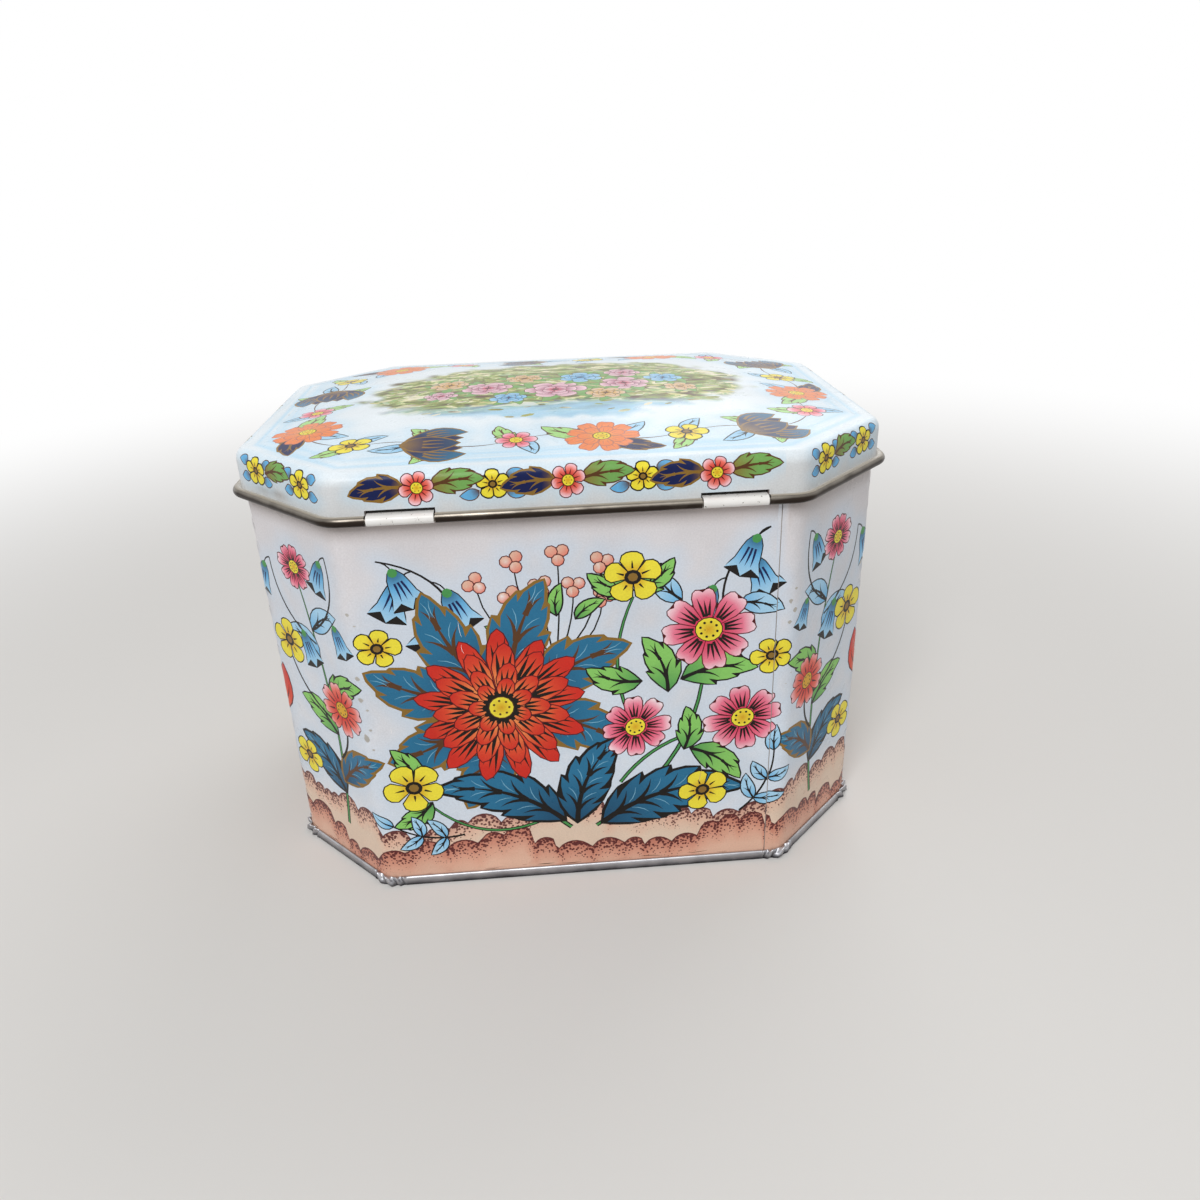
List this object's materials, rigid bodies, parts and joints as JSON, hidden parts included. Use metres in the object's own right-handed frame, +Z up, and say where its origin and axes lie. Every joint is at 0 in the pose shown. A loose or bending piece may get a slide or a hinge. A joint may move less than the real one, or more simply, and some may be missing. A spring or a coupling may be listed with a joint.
{
  "type": "hinged tin box",
  "caption": "Tinplate keepsake box with an elongated octagonal plan, a seamed base and a shallow domed lid that swings on a wire hinge.",
  "frame": {"origin": "centre of the plan on the surface that the box stands on", "axes": "+X along the long side, +Y towards the hinge, +Z up"},
  "size_m": [0.1972, 0.1533, 0.1439],
  "materials": {
    "printed_tinplate": "lithographed print under gloss varnish",
    "printed_lid_tinplate": "lithographed print under gloss varnish",
    "bare_tinplate": "bare tin, slightly dulled",
    "hinge_steel": "drawn wire",
    "white_tinplate": "white enamel"
  },
  "bodies": {
    "box": {"body_wall": "printed_tinplate", "base_panel": "bare_tinplate", "hinge_tab_left": "white_tinplate", "hinge_tab_right": "white_tinplate"},
    "lid": {"lid_shell": "printed_lid_tinplate", "hinge_wire": "hinge_steel"}
  },
  "joints": [
    {"name": "lid_hinge", "type": "hinge", "parent": "box", "child": "lid", "pos_m": [0, 0.0752, 0.1257], "axis": [-1, 0, 0], "range_deg": [0, 110]}
  ]
}
